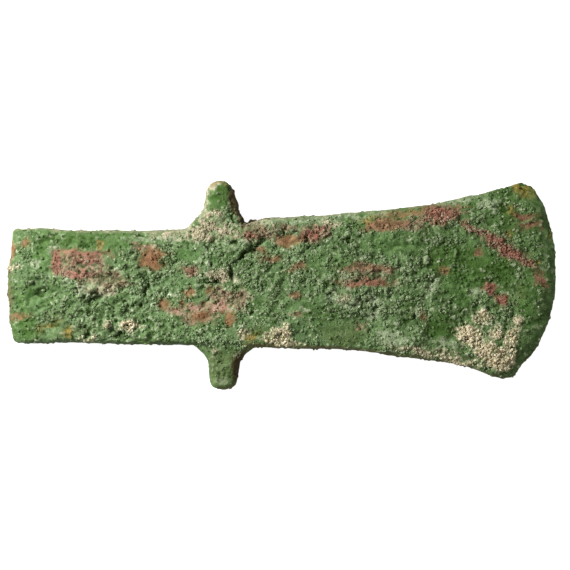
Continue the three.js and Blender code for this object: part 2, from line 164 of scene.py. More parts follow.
# %% Where each kind of crust lies
# Each oval: centre x and y, half length, half width, turn in degrees. Millimetres in the axe's own frame.
PATCHES = {
    "red_crust": [
        (-65.3, 5.8, 1.6, 2.8, 0), (-58.6, 3.0, 3.6, 0.9, 0), (-57.0, 7.0, 4.0, 0.8, 0),
        (-26.1, 3.8, 1.8, 0.8, -15), (-8.6, 13.8, 1.8, 1.0, 0), (9.0, 14.6, 4.2, 1.4, 10),
        (46.4, 20.0, 5.0, 1.9, 8), (56.0, 16.6, 4.0, 1.3, -30), (65.0, 11.2, 7.6, 1.5, -31),
        (72.0, 6.6, 2.6, 1.0, -34), (61.0, -1.0, 2.4, 1.5, -60), (63.6, -4.2, 2.2, 1.2, -50),
    ],
    "tan_crust": [
        (-58.0, 5.6, 8.4, 4.0, 0), (-50.4, 1.8, 6.8, 2.4, -12), (-7.0, 15.2, 4.6, 1.9, 0),
        (1.0, 16.4, 4.0, 1.0, 0), (9.0, 14.6, 5.6, 2.6, 10), (38.0, 17.8, 4.6, 1.9, 8),
        (25.8, 4.4, 7.4, 1.7, 0), (24.8, 1.9, 6.0, 0.8, 0), (46.6, 20.2, 6.4, 2.6, 8),
        (64.0, 11.6, 10.0, 2.3, -29), (-17.6, -2.6, 3.0, 2.2, 0), (-12.4, -4.0, 2.4, 3.2, 0),
        (-27.0, 4.0, 3.0, 1.4, 0), (23.0, -12.0, 1.6, 1.6, 0), (-80.0, -1.0, 1.2, 17.5, 0),
        (-23.4, -9.6, 5.0, 1.8, 0),
    ],
    "brown_band": [
        (25.4, 4.8, 6.0, 0.7, 0), (25.0, 0.6, 6.6, 1.0, 0), (5.0, 5.0, 2.4, 1.2, 10),
        (4.0, -3.0, 1.6, 1.0, 0), (41.2, -8.8, 0.9, 1.5, 10), (57.8, 9.8, 1.2, 1.0, 0),
        (-3.0, 7.5, 2.9, 1.0, 5), (-6.0, 9.7, 1.9, 0.9, 0), (29.8, 17.3, 6.6, 2.0, 8),
        (-38.4, 7.6, 3.0, 2.6, 0),
    ],
    "bare_red": [
        (-60.4, 3.0, 2.2, 0.5, 0), (-38.6, 10.6, 2.4, 0.7, -5), (-30.4, -7.6, 2.4, 1.0, -18),
        (-24.2, -6.6, 2.9, 1.3, 12), (-20.2, -6.8, 1.7, 1.7, -10), (-17.2, -6.4, 2.3, 1.9, -20),
        (4.2, -8.5, 1.2, 0.8, 30), (-1.0, 13.6, 0.8, 0.9, 0), (-41.8, 10.8, 1.4, 0.7, -20),
    ],
    "rust": [
        (-38.2, 7.3, 1.9, 2.1, 0), (-35.8, 9.0, 2.6, 0.8, -5), (-36.2, 5.5, 1.8, 0.7, 10),
        (-34.0, -5.4, 1.7, 1.3, -25), (-28.6, -5.3, 1.1, 1.0, 0), (-26.6, -2.7, 1.2, 1.3, 0),
        (-21.4, -1.1, 1.2, 1.1, 0), (-23.2, -9.4, 2.1, 1.4, -20), (-14.9, -9.9, 1.3, 2.2, -25),
        (1.9, 12.8, 3.5, 1.6, -6), (36.5, 21.2, 6.4, 0.6, 7), (25.5, 18.2, 0.9, 0.8, 0),
        (-79.0, 11.0, 1.3, 2.8, 0), (-74.4, 12.3, 1.3, 1.1, -20), (-76.4, -9.2, 2.5, 0.7, 0),
        (-52.4, 11.6, 0.8, 1.0, 0), (46.4, 4.2, 1.0, 0.8, 0),
    ],
    "dark_red": [
        (-57.4, 9.0, 6.8, 1.0, -3), (-65.3, 8.0, 1.6, 1.5, 0), (46.8, 21.6, 5.6, 0.8, 8),
        (70.4, 19.8, 2.6, 1.0, 0), (72.4, 17.1, 2.8, 0.9, -3), (74.9, 2.0, 2.8, 1.0, -75),
        (60.6, -0.6, 1.6, 1.8, 5), (64.0, -3.9, 1.2, 1.8, -20), (64.6, 11.4, 5.0, 0.7, -31),
        (23.8, 0.7, 5.4, 0.7, 0), (9.0, 15.2, 2.4, 0.7, 10), (-58.8, 3.4, 2.6, 0.6, 0),
    ],
    "earth": [
        (54.6, -14.4, 4.2, 3.0, -10), (59.6, -19.6, 5.0, 3.2, -50), (64.6, -21.4, 3.2, 4.4, -30),
        (67.2, -15.0, 2.0, 4.0, -15), (58.0, -9.4, 2.9, 1.5, 15), (62.2, -13.6, 1.5, 2.0, 0),
        (52.0, -22.2, 5.0, 0.8, -12), (-0.8, -14.9, 4.2, 2.8, 15), (-10.9, -14.3, 1.7, 1.9, 0),
        (-50.6, -11.1, 0.9, 0.7, 0), (-43.9, -12.0, 2.4, 1.4, 0), (-56.0, -15.9, 1.8, 0.7, 0),
        (-77.9, 5.0, 1.6, 0.9, 0), (2.4, -16.6, 3.0, 0.9, -5), (68.9, -10.6, 1.6, 1.8, 0),
    ],
    "dirt": [
        # The first two ovals lie on the upper lug's left rim and top, which face the key light: dirt there,
        # and partly a painted highlight.
        (-22.9, 24.0, 0.8, 5.4, -4), (-20.0, 29.0, 1.5, 1.2, 0), (-19.8, 17.8, 3.4, 4.6, 0),
        (-20.5, 15.2, 9.5, 2.6, 0), (-30.5, 15.0, 6.0, 1.5, 4), (-55.0, -0.6, 3.6, 2.2, -10),
        (-50.0, -1.6, 2.4, 1.2, 0), (-11.4, -4.6, 2.4, 2.6, 0), (-43.5, -11.4, 2.6, 1.4, 0),
        (18.0, -3.0, 2.0, 1.4, 0), (-19.5, -18.6, 2.0, 1.0, 0), (-17.4, 2.6, 4.8, 1.7, -5),
        (37.5, 17.2, 3.0, 1.3, 10), (12.7, 17.4, 3.2, 1.3, 0), (-8.0, 16.8, 5.0, 1.3, 3),
        (43.0, -19.4, 10.0, 1.2, -8), (30.0, 4.4, 2.6, 1.1, 0), (-17.6, -2.4, 3.0, 1.8, 0),
    ],
    "pale": [
        (-27.0, 16.1, 5.0, 0.8, 3), (4.0, 18.6, 10.0, 0.6, 3), (20.0, 20.0, 8.0, 0.6, 3),
        (15.6, -3.5, 2.4, 1.6, 0), (20.6, -5.3, 3.0, 2.0, 0), (26.4, -4.6, 2.6, 1.6, 0),
        (23.5, -7.9, 1.2, 1.0, 0), (41.9, 7.3, 1.0, 1.0, 0), (-50.3, -11.1, 1.0, 0.8, 0),
        (-43.4, 8.2, 0.9, 0.8, 0), (-56.0, -2.0, 4.0, 2.4, 0), (-35.0, 13.4, 8.0, 0.7, 2),
        # The ovals at (-19.6, 28.9) and (-22.6, 24.0) lie on the upper lug's top and left rim, facing the key
        # light: pale crust, and partly a painted highlight.
        (-66.0, 10.0, 2.0, 1.0, 40), (-62.0, 1.5, 1.6, 1.2, 30), (-19.6, 28.9, 1.7, 1.3, 0),
        (-22.6, 24.0, 0.5, 5.0, -4), (28.3, 20.5, 2.8, 0.8, 7), (52.5, 24.5, 6.0, 0.7, 15),
        (32.0, -15.2, 5.0, 2.2, -12), (43.4, -0.6, 1.6, 3.4, -28), (-51.0, -2.2, 3.4, 1.6, 0),
        (39.6, -7.6, 1.2, 1.6, 20), (-17.0, -27.6, 1.6, 1.4, 0), (48.0, -17.0, 4.0, 1.2, -10),
        (27.0, -8.0, 3.0, 1.6, 20), (-77.0, 5.2, 2.0, 0.5, 0), (-9.8, 13.4, 3.0, 1.1, 40),
        (61.0, 24.0, 3.4, 1.2, 15), (57.0, -2.5, 2.4, 1.2, 0), (-71.5, 6.5, 1.2, 1.4, 30),
        (19.0, 1.5, 1.6, 3.0, 20), (-58.0, -2.0, 1.6, 2.0, 0),
    ],
    "ochre": [
        (69.9, 27.9, 3.8, 1.7, -25), (-18.2, 30.0, 2.4, 1.3, 0), (-67.8, -12.3, 2.7, 0.8, 25),
        (-61.7, -13.6, 1.4, 1.4, 0), (-52.5, 11.7, 0.8, 1.1, 0), (66.9, 21.0, 0.9, 1.4, 0),
        (66.7, 14.9, 0.8, 1.0, 0), (74.2, 6.7, 0.8, 0.8, 0), (77.7, 14.6, 0.6, 0.9, 0),
        (-9.0, -15.6, 2.4, 1.2, 40), (25.6, 19.6, 1.6, 0.6, 0),
    ],
    "moss": [
        (-58.0, 13.6, 9.0, 1.5, 0), (-58.0, 13.0, 12.0, 2.4, 0), (-44.0, 13.4, 6.0, 1.4, 0),
        (-73.0, -13.0, 3.4, 3.4, 0), (65.3, 4.6, 2.2, 5.2, 0), (-18.4, 25.4, 3.2, 3.6, 0),
        (50.0, 7.0, 10.0, 5.0, -5), (46.5, -11.5, 4.0, 4.0, 0), (-67.0, 12.0, 3.0, 1.0, 0),
        (66.0, 22.0, 3.0, 5.0, -20), (-25.6, 17.2, 3.0, 1.0, 30), (61.0, 3.0, 4.0, 4.0, 0),
        (4.0, 19.0, 2.0, 0.9, 0), (12.0, -8.0, 6.0, 3.0, 10), (37.0, -8.5, 2.6, 3.0, 0),
    ],
    # These ovals sit on the lugs' right flanks, beside the upper lug's root and along the lower edges, all
    # away from the key light: a brown crust, and partly painted shade.
    "umber_and_shade": [
        (-12.3, 23.6, 2.6, 6.6, 12), (-12.4, -25.0, 1.8, 6.0, -6), (-6.5, 19.4, 5.6, 0.7, 4),
        (-12.9, 29.0, 1.2, 1.6, 40), (-62.0, -20.3, 8.0, 0.5, 0), (20.0, -19.6, 9.0, 0.5, -3),
    ],
    # These ovals are a dull green glaze, partly crust colour and partly painted shade on a lug flank, hollows,
    # a ridge and the butt's end.
    "olive_and_shade": [
        (17.4, -14.4, 6.5, 3.4, 0), (41.4, 15.6, 1.8, 1.2, 0), (-7.0, -14.6, 3.4, 3.0, 0),
        (-67.6, -12.2, 3.0, 1.2, 22), (-16.4, -24.0, 5.6, 5.5, 0), (-79.6, -1.0, 1.4, 18.0, 0),
        (-38.4, 8.4, 4.0, 3.4, 0), (-60.0, -13.4, 5.0, 1.6, 5), (69.6, -2.0, 2.0, 3.0, 0),
        (-66.0, -9.0, 3.0, 2.0, 0), (-9.8, 20.6, 2.0, 4.5, 20),
    ],
    "calm": [
        (-57.4, 9.2, 7.4, 1.3, -3), (70.4, 19.8, 2.8, 1.2, 0), (72.4, 17.1, 3.0, 1.1, -3),
        (17.4, -13.7, 7.0, 3.8, 0), (53.5, -0.3, 6.4, 6.0, 0), (-27.0, 8.6, 3.2, 2.2, 0),
        (31.0, 11.5, 7.0, 2.2, -5), (54.0, 8.5, 8.0, 3.0, -10), (47.0, -12.5, 4.2, 4.5, 0),
        (-74.5, -13.1, 3.6, 3.2, 0), (-53.0, 12.8, 15.0, 2.2, 0), (-70.0, 8.0, 3.2, 3.4, 0),
        (-18.5, 25.0, 3.0, 4.2, 0), (24.4, 20.2, 11.0, 1.5, 5), (55.0, 23.4, 9.0, 1.5, 16),
        (-48.6, -3.5, 4.6, 1.5, 5), (-27.9, 0.6, 3.0, 1.2, 0), (65.2, 4.5, 2.4, 5.0, 0),
        (71.5, -4.0, 2.0, 8.0, 0), (32.0, -14.6, 5.0, 2.4, -12), (-73.0, -5.0, 5.0, 4.0, 0),
    ],
    "craggy": [
        (-50.0, -4.4, 16.0, 10.0, 0), (-38.4, -13.7, 15.0, 3.8, 0), (-10.6, 6.7, 13.0, 9.0, 0),
        (11.0, 12.0, 10.0, 4.5, 0), (27.0, -3.5, 16.0, 5.5, -12), (38.0, 4.5, 6.0, 4.5, 0),
        (-20.0, 16.5, 8.0, 4.0, 0), (50.0, 18.5, 8.0, 2.5, 14), (57.0, -6.0, 7.0, 3.0, 0),
    ],
    "pit": [
        (-69.8, -2.0, 2.2, 1.3, 35), (-53.8, -3.9, 2.0, 1.1, 35), (-39.3, 0.0, 0.9, 3.0, 0),
        (-7.6, 11.4, 3.4, 1.0, 40), (-11.8, 7.8, 3.0, 0.9, 45), (-14.4, 4.4, 2.2, 0.7, 75),
        (-19.4, 0.8, 2.4, 0.3, -3), (-21.0, -4.4, 1.7, 0.2, 50), (-9.0, 18.6, 3.4, 0.6, 5),
        (-46.0, -15.2, 2.0, 0.6, 0), (7.5, 13.0, 0.8, 1.6, 0), (23.4, -1.4, 1.2, 0.8, 30),
        (19.6, 12.4, 1.4, 1.0, 0),
    ],
    "dip": [
        (51.6, -11.8, 4.6, 1.2, 58), (65.8, 23.4, 2.4, 1.2, 60), (-70.0, -2.0, 4.5, 4.0, 30),
        (-49.0, -8.0, 9.0, 2.0, 10), (-62.0, 12.0, 8.0, 1.4, 0), (-34.0, 1.0, 3.0, 4.0, 0),
        (38.0, 10.0, 8.0, 2.0, -8), (24.0, -10.0, 8.0, 2.0, 10), (-67.6, -12.2, 2.8, 0.9, 22),
    ],
}
print({kind: len(ovals) for kind, ovals in PATCHES.items()})

# %% Distance of every point to each kind of patch
RAGGED_BROAD, RAGGED_FINE = 1.1, 0.8  # how far noise pushes the outlines about, mm
REACH = 3.0  # distances are kept up to this far from an outline, mm


def pushed(places):
    """The places moved about sideways by noise, so that ovals laid over them get ragged outlines."""
    shift = np.zeros_like(places)
    for axis in (0, 1):
        broad = layered_waves(places, 4.5, seed=31.7 * (axis + 1), octaves=2)
        shift[:, axis] = RAGGED_BROAD * broad + RAGGED_FINE * waves(places, 1.3, seed=5.3 * (axis + 1))
    return places + shift


def depth_inside(ovals, places):
    """How deep each place lies inside the nearest oval, in mm, below zero outside."""
    deepest = np.full(len(places), -REACH)
    for x, y, along, across, turn in ovals:
        c, s = math.cos(math.radians(turn)), math.sin(math.radians(turn))
        u = ((places[:, 0] - x) * c + (places[:, 1] - y) * s) / along
        v = ((places[:, 1] - y) * c - (places[:, 0] - x) * s) / across
        deepest = np.maximum(deepest, (1.0 - np.hypot(u, v)) * min(along, across))
    return np.clip(deepest, -REACH, REACH)


# The underside gets patches of the same kinds in other places: the same ovals, turned end for end.
faces_down = normals[:, 2] < -0.5
laid_out = points.copy()
laid_out[faces_down] = points[faces_down] * (-0.9, 0.8, 1.0) + (9.0, 4.0, 0.0)
ragged = pushed(laid_out)
depths = {kind: depth_inside(ovals, ragged) for kind, ovals in PATCHES.items()}
inside = {kind: ramp(depth, -0.35, 0.35) for kind, depth in depths.items()}
print("share of points:", {kind: round(float(cover.mean()), 3) for kind, cover in inside.items()})

# %% [markdown]
# ## Relief of the crust
# The crust is built up in layers, as it grew. Broad swells a few millimetres wide lie lowest. On them
# sit lumps, then two sizes of rounded grains, like cobbles. Bare red oxide shows where the crust has
# flaked off, so it is a shallow hollow with a smooth floor, and earth and red crust stand a little
# proud. Every layer is a height in millimetres, and together they push the points out along their
# normals. A displaced material would look the same here, but would be lost when the mesh is exported.

# %% Height of every layer
SWELL_HEIGHT, SWELL_WIDTH = 0.48, 7.0  # the layers' heights and the widths of their lumps, mm
FOLD_HEIGHT, FOLD_WIDTH = 0.30, 3.2
LUMP_HEIGHT, BLADE_LUMP_EXTRA, LUMP_WIDTH = 0.30, 0.08, 2.6
LARGE_HEIGHT, LARGE_WIDTH = 0.38, 1.7
SMALL_HEIGHT, SMALL_WIDTH = 0.22, 0.95
HOLE_DEPTH, HOLE_WIDTH = 0.5, 1.9
HEAP_HEIGHT, HEAP_WIDTH = 0.52, 2.9
LONE_HEIGHT = 0.30

roughness_field = 0.3 + 0.7 * ramp(layered_waves(points, 7.0, seed=2.2, octaves=2), -0.45, 0.35)
craggy = ramp(depths["craggy"], -2.0, 2.0)
rough = roughness_field * (1.0 - 0.7 * ramp(depths["calm"], -1.2, 1.2)) + 0.45 * craggy
bare = np.maximum(np.maximum(inside["bare_red"], inside["rust"]), 0.8 * inside["dark_red"])
rough = rough * (1.0 - 0.85 * bare) * (1.0 - 0.45 * inside["brown_band"])
rough += 0.4 * inside["earth"] + 0.15 * inside["red_crust"]
EDGE_BEVEL = 4.5  # the ground bevel stays smoother, mm
edge_x = points[:, 0].max() - behind_the_tip(points[:, 1])
rough *= 0.35 + 0.65 * ramp(edge_x - points[:, 0], 1.5, EDGE_BEVEL + 2.0)
rim = ramp(np.hypot(normals[:, 0], normals[:, 1]), 0.5, 0.95)
rough *= 1.0 - 0.65 * rim
# How far each rim point faces up and left, towards the key light. The shader paints a highlight where it does
# and paints light into the shade where it faces away; on the butt that painted light is halved.
facing_up = rim * (0.85 * normals[:, 1] - 0.5 * normals[:, 0])
facing_up[(facing_up < 0.0) & (points[:, 0] < -25.0)] *= 0.5
rough[faces_down] *= 0.5

swells = SWELL_HEIGHT * layered_waves(points, SWELL_WIDTH, seed=11.0, octaves=2) * (1.0 - 0.6 * rim)
on_blade = ramp(points[:, 0], 6.0, 20.0)
lumps = layered_waves(points, LUMP_WIDTH, seed=4.4, octaves=3)
lumps *= LUMP_HEIGHT + BLADE_LUMP_EXTRA * on_blade
butt = ramp(-points[:, 0], 40.0, 56.0)
folds = FOLD_HEIGHT * layered_waves(points * (1.0, 1.7, 1.0), FOLD_WIDTH, seed=27.0, octaves=2)
folds *= (1.0 - 0.8 * rim) * (1.0 + 0.6 * butt)
large_top, large_tone = cobbles(points, LARGE_WIDTH, seed=1.0)
small_top, small_tone = cobbles(points, SMALL_WIDTH, seed=6.0)
coarse = ramp(waves(points, 5.0, seed=23.0), -0.2, 0.35)
grains = LARGE_HEIGHT * coarse * large_top * large_tone
grains += SMALL_HEIGHT * small_top * (0.3 + 0.7 * small_tone)
holes = -HOLE_DEPTH * ramp(waves(points, HOLE_WIDTH, seed=19.0), 0.32, 0.6)
heaps = HEAP_HEIGHT * (billows(points, HEAP_WIDTH, seed=14.0) - 0.3) * craggy * (1.0 - rim)
lone = LONE_HEIGHT * small_top * ramp(small_tone, 0.72, 0.82) * (1.0 - bare)
print("grain height, mm:", round(float(grains.min()), 2), round(float(grains.max()), 2))

# %% Push the points out
PIT_DEPTH, DIP_DEPTH, FLAKE_DEPTH = 1.35, 0.7, 0.16
EARTH_HEIGHT, RED_HEIGHT = 0.22, 0.12
SUNK = 0.2  # the crust starts this far below the solid, because it stands out in lumps, mm
RIM_THICKNESS = 0.26  # the crust is thicker round the rim, mm
END_THICKNESS, EDGE_REACH = 0.28, 1.05  # the butt's end and the cutting edge stand out further, mm
RIM_SWELLS = [  # x, y, reach and height in mm of the corners and of one ledge beside the upper lug
    (-78.6, 16.2, 3.2, 0.9), (-77.8, -18.9, 2.8, 0.6), (72.6, 30.4, 5.0, 1.5), (66.0, -29.6, 3.2, 1.1),
    (-48.0, -17.5, 22.0, -0.2), (-4.5, 18.6, 7.0, 0.5), (-12.2, 21.2, 2.4, -0.5),
    (52.0, 23.6, 6.0, 0.45), (-68.0, 17.0, 6.0, 0.25),
]

TOP_SOFT, TOP_LIMIT = 9.6, 10.3  # above the first, heights are pressed together below the second, mm
BOULDERS = [  # x, y, reach and height in mm of crumbs big enough to stand out one by one
    (-50.3, -11.1, 1.1, 0.9), (-45.0, -11.2, 1.3, 0.8), (-43.0, -10.6, 1.2, 0.7), (41.9, 7.3, 1.5, 0.9),
    (23.5, -7.9, 1.5, 0.8), (23.8, -1.6, 1.4, 0.7), (-43.4, 8.2, 1.2, 0.8), (-55.0, -1.2, 1.4, 0.9),
    (-58.6, -3.0, 1.2, 0.7), (-64.2, -9.4, 1.3, 0.6), (44.2, 3.6, 1.1, 0.6), (50.4, 9.4, 1.2, 0.6),
    (33.0, 7.8, 1.2, 0.6), (54.0, -1.5, 1.1, 0.5), (-19.8, 3.0, 1.2, 0.6), (12.5, -1.6, 1.2, 0.6),
    (-10.0, 12.8, 1.3, 0.7), (-11.8, 10.4, 1.2, 0.7), (61.6, 23.0, 2.2, 0.6), (57.0, 20.8, 1.6, 0.5),
]



def pressed(heights):
    """Heights in mm pressed together near the top, so that the crust never passes TOP_LIMIT."""
    span = TOP_LIMIT - TOP_SOFT
    return np.minimum(heights, TOP_SOFT) + span * np.tanh((heights - TOP_SOFT).clip(0.0) / span)


relief = swells + folds + rough * (lumps + grains + holes) + heaps - SUNK
relief += lone * (1.2 - rough).clip(0.0, 1.0)
relief -= PIT_DEPTH * ramp(depths["pit"], -0.6, 0.7)
relief -= DIP_DEPTH * ramp(depths["dip"], -1.6, 1.4)
relief -= FLAKE_DEPTH * bare
for x, y, reach, height in BOULDERS:
    near = np.hypot(ragged[:, 0] - x, ragged[:, 1] - y)
    relief += height * ramp(near, reach, 0.2 * reach) * (normals[:, 2] > 0.3)
relief += EARTH_HEIGHT * ramp(depths["earth"], -0.5, 1.0)
relief += RED_HEIGHT * ramp(depths["red_crust"], -0.5, 0.8)
outwards = RIM_THICKNESS + END_THICKNESS * ramp(-points[:, 0], 76.0, 78.5)
for x, y, reach, height in RIM_SWELLS:
    outwards += height * ramp(np.hypot(points[:, 0] - x, points[:, 1] - y), reach, 0.0)
crusted = points + normals * relief[:, None]
crusted[:, :2] += normals[:, :2] * (rim * outwards)[:, None]
from_blade = points[:, :2] - (22.0, 3.0)
from_blade /= np.hypot(from_blade[:, 0], from_blade[:, 1])[:, None]
crusted[:, :2] += from_blade * (EDGE_REACH * ramp(points[:, 0] - edge_x, -5.0, -1.0))[:, None]
crusted[:, 2] = pressed(np.maximum(crusted[:, 2], 0.0))  # it rests on its high spots
for vertex, place in zip(skin.verts, crusted):
    vertex.co = Vector(place) * MM
skin.normal_update()
print("relief, mm:", round(float(relief.min()), 2), "to", round(float(relief.max()), 2))

# %% [markdown]
# ## How hollow each point is
# The hollows are darkened, partly for the dirt and dark minerals that stay in them and partly as
# painted shade, and the tops are made paler, partly for a pale mineral and partly as a painted
# highlight. The shader could ask for this at render time, but a value kept on the points also reaches
# an exported model. A point is hollow where it lies lower than the mean of its neighbours, so the
# heights are spread from point to point a few times and compared.

# %% Compare each height with its surroundings
def spread(values, pairs, times):
    """The values averaged with those of the neighbouring points, again and again."""
    neighbours = np.bincount(pairs.ravel(), minlength=len(values))
    for _ in range(times):
        total = np.bincount(pairs[:, 0], values[pairs[:, 1]], len(values))
        total += np.bincount(pairs[:, 1], values[pairs[:, 0]], len(values))
        values = 0.5 * values + 0.5 * total / neighbours
    return values


skin.verts.index_update()
edge_pairs = np.array([[v.index for v in e.verts] for e in skin.edges])
fine_hollow = spread(relief, edge_pairs, 6) - relief
broad_hollow = spread(relief, edge_pairs, 60) - relief
print("hollowness, mm:", round(float(fine_hollow.std()), 3), round(float(broad_hollow.std()), 3))

# %% The dressed casting as an object
def keep_on_points(mesh, name, values):
    """Stores one number for each point of the mesh, for the shader to read by name."""
    mesh.attributes.new(name, "FLOAT", "POINT").data.foreach_set("value", values.astype(np.float32))


axe_mesh = bpy.data.meshes.new("crusted_casting")
skin.to_mesh(axe_mesh)
kept = {kind: depth for kind, depth in depths.items() if kind not in ("craggy", "pit", "dip")}
kept.update(fine_hollow=fine_hollow, broad_hollow=broad_hollow)
kept.update(large_tone=large_tone, small_tone=small_tone)
kept.update(rough=rough, facing_up=facing_up)
for name, values in kept.items():
    keep_on_points(axe_mesh, name, values)
axe_mesh.shade_smooth()
axe = bpy.data.objects.new("crusted_casting", axe_mesh)
bpy.context.collection.objects.link(axe)
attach(axe, "root")
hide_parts("axe_head")
print("casting triangles:", sum(len(p.vertices) - 2 for p in axe_mesh.polygons))

# %% [markdown]
# ## Loose grains
# Many grains of the crust stand free, smaller than the skin's squares can show. Particles would be
# dropped on export, so each grain is real: one icosphere of twenty faces, squashed, turned and sunk
# into the skin. They crowd where the crust is craggy and are rare on the smooth green. Each takes the
# numbers of the skin below it, so the same material gives it the right colour. They make three pieces,
# so that no piece grows too heavy.

# %% One grain, copied to many places
GRAIN_COUNT = 12000
GRAIN_RADIUS = (0.18, 0.66)  # mm
SMALL_GRAINS = 2.2  # the higher, the fewer large grains there are among the small ones
GRAIN_JITTER = 0.12  # grains lie up to this far beside the point they grew on, mm
dice = np.random.default_rng(7)

one = bmesh.new()
bmesh.ops.create_icosphere(one, subdivisions=1, radius=1.0)
one.verts.index_update()
grain_corners = np.array([v.co for v in one.verts])
grain_faces = np.array([[v.index for v in f.verts] for f in one.faces])
one.free()

crowding = ramp(rough, 0.2, 1.15) * ramp(layered_waves(points, 3.4, seed=8.8, octaves=2), -0.05, 0.5)
crowding = crowding * (1.0 - bare) + 0.2 * inside["earth"] + 0.25 * inside["red_crust"] + 0.04
crowding *= (1.0 - 0.95 * rim) * ramp(edge_x - points[:, 0], 1.5, 5.0) * (1.0 - 0.5 * butt)
on_lugs = ramp(np.abs(points[:, 1] - 0.8), 20.0, 22.5) * ramp(-points[:, 0], 0.0, 4.0)
crowding *= 1.0 - 0.85 * on_lugs
crowding[faces_down] = 0.0
chosen = dice.choice(len(points), GRAIN_COUNT, replace=False, p=crowding / crowding.sum())
print("grains:", len(chosen))


# %% Grain pieces
def turned_at_random(count):
    """A random rotation matrix for each of count grains."""
    frames, _ = np.linalg.qr(dice.normal(size=(count, 3, 3)))
    return frames * np.sign(np.linalg.det(frames))[:, None, None]


def grain_piece(name, roots):
    """One mesh of a grain on each of the given points of the skin."""
    count = len(roots)
    small, large = GRAIN_RADIUS
    radius = (small + (large - small) * dice.random(count) ** SMALL_GRAINS) * MM
    squash = dice.uniform(0.65, 1.0, (count, 1, 3))
    bruised = grain_corners[None] * squash * dice.uniform(0.75, 1.15, (count, len(grain_corners), 1))
    corners = np.einsum("gij,gkj->gki", turned_at_random(count), bruised) * radius[:, None, None]
    centres = crusted[roots] * MM + normals[roots] * (0.05 * radius)[:, None]
    centres += dice.uniform(-GRAIN_JITTER, GRAIN_JITTER, (count, 3)) * MM
    corners += centres[:, None]
    corners[..., 2] = pressed(corners[..., 2] / MM) * MM
    faces = grain_faces[None] + (np.arange(count) * len(grain_corners))[:, None, None]
    mesh = bpy.data.meshes.new(name)
    mesh.from_pydata(corners.reshape(-1, 3).tolist(), [], faces.reshape(-1, 3).tolist())
    own = {kind: values[roots] for kind, values in kept.items()}
    # Each grain counts as a top, so the shader makes it paler: partly pale mineral, partly a painted
    # highlight.
    own["fine_hollow"] = dice.uniform(-0.16, 0.02, count)
    own["large_tone"] = dice.uniform(0.1, 0.8, count)
    for kind, values in own.items():
        keep_on_points(mesh, kind, np.repeat(values, len(grain_corners)))
    piece = bpy.data.objects.new(name, mesh)
    bpy.context.collection.objects.link(piece)
    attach(piece, "root")
    print(name, "triangles:", len(mesh.polygons))
    return piece


STRETCHES = {"butt_grains": (-90, -22), "waist_grains": (-22, 30), "blade_grains": (30, 90)}
grain_pieces = []
along_x = points[chosen, 0]
for name, (start, end) in STRETCHES.items():
    grain_pieces.append(grain_piece(name, chosen[(along_x >= start) & (along_x < end)]))

# %% [markdown]
# ## Shader helpers
# A material is a tree of nodes. These helpers add a node with its values set and its inputs linked, so
# that each finish below reads as a short list of steps.

# %% Node helpers
def paint(code):
    """A colour written as #rrggbb, as the linear values that Blender's nodes take."""
    parts = [int(code[i : i + 2], 16) / 255 for i in (1, 3, 5)]
    return [c / 12.92 if c <= 0.04045 else ((c + 0.055) / 1.055) ** 2.4 for c in parts] + [1.0]


def add(tree, kind, inputs=None, **settings):
    """A node of that kind. Inputs are numbers, colours or other nodes' outputs, by name or number."""
    made = tree.nodes.new(kind)
    for name, value in settings.items():
        setattr(made, name, value)
    for socket, value in (inputs or {}).items():
        if isinstance(value, bpy.types.NodeSocket):
            tree.links.new(value, made.inputs[socket])
        else:
            made.inputs[socket].default_value = value
    return made


def stored(tree, name):
    """The number kept on the points under that name."""
    return add(tree, "ShaderNodeAttribute", attribute_name=name).outputs["Fac"]


def sum_of(tree, a, b, operation="ADD"):
    """Two numbers put together by one Math node."""
    return add(tree, "ShaderNodeMath", {0: a, 1: b}, operation=operation).outputs[0]


def stretched(tree, value, low, high, to_low=0.0, to_high=1.0):
    """The value taken smoothly from the span low..high to the span to_low..to_high."""
    spans = {"Value": value, "From Min": low, "From Max": high, "To Min": to_low, "To Max": to_high}
    return add(tree, "ShaderNodeMapRange", spans, interpolation_type="SMOOTHSTEP").outputs["Result"]


def mixed(tree, share, under, over, mode="MIX"):
    """The colour over laid on the colour under, by a share from 0 to 1."""
    made = add(tree, "ShaderNodeMix", data_type="RGBA", blend_type=mode)
    for socket, value in ((0, share), (6, under), (7, over)):
        if isinstance(value, bpy.types.NodeSocket):
            tree.links.new(value, made.inputs[socket])
        else:
            made.inputs[socket].default_value = value
    return made.outputs[2]


def speckle(tree, size, detail=3.0, roughness=0.6):
    """Soft noise from 0 to 1 on Object coordinates, with lumps of that size in metres."""
    place = add(tree, "ShaderNodeTexCoord").outputs["Object"]
    values = {"Vector": place, "Scale": 1.0 / size, "Detail": detail, "Roughness": roughness}
    return add(tree, "ShaderNodeTexNoise", values).outputs["Fac"]


# %% [markdown]
# ## Shared effects
# Three effects come back in every patch. The first turns a stored distance into a crisp mask whose
# outline is broken up by noise finer than the mesh. The second lays two tones of one mineral side by
# side. The third packs the surface with crumbs smaller than any point of the mesh, and gives their tops
# and a tone for each. All are node groups, so each is built once and gets its own values wherever it is
# used.

# %% Group: a ragged mask
def new_group(name, sockets_in, sockets_out):
    """An empty node group with named sockets, and its input and output nodes."""
    group = bpy.data.node_groups.new(name, "ShaderNodeTree")
    for label, kind, value in sockets_in:
        group.interface.new_socket(label, in_out="INPUT", socket_type=kind).default_value = value
    for label, kind in sockets_out:
        group.interface.new_socket(label, in_out="OUTPUT", socket_type=kind)
    return group, add(group, "NodeGroupInput"), add(group, "NodeGroupOutput")


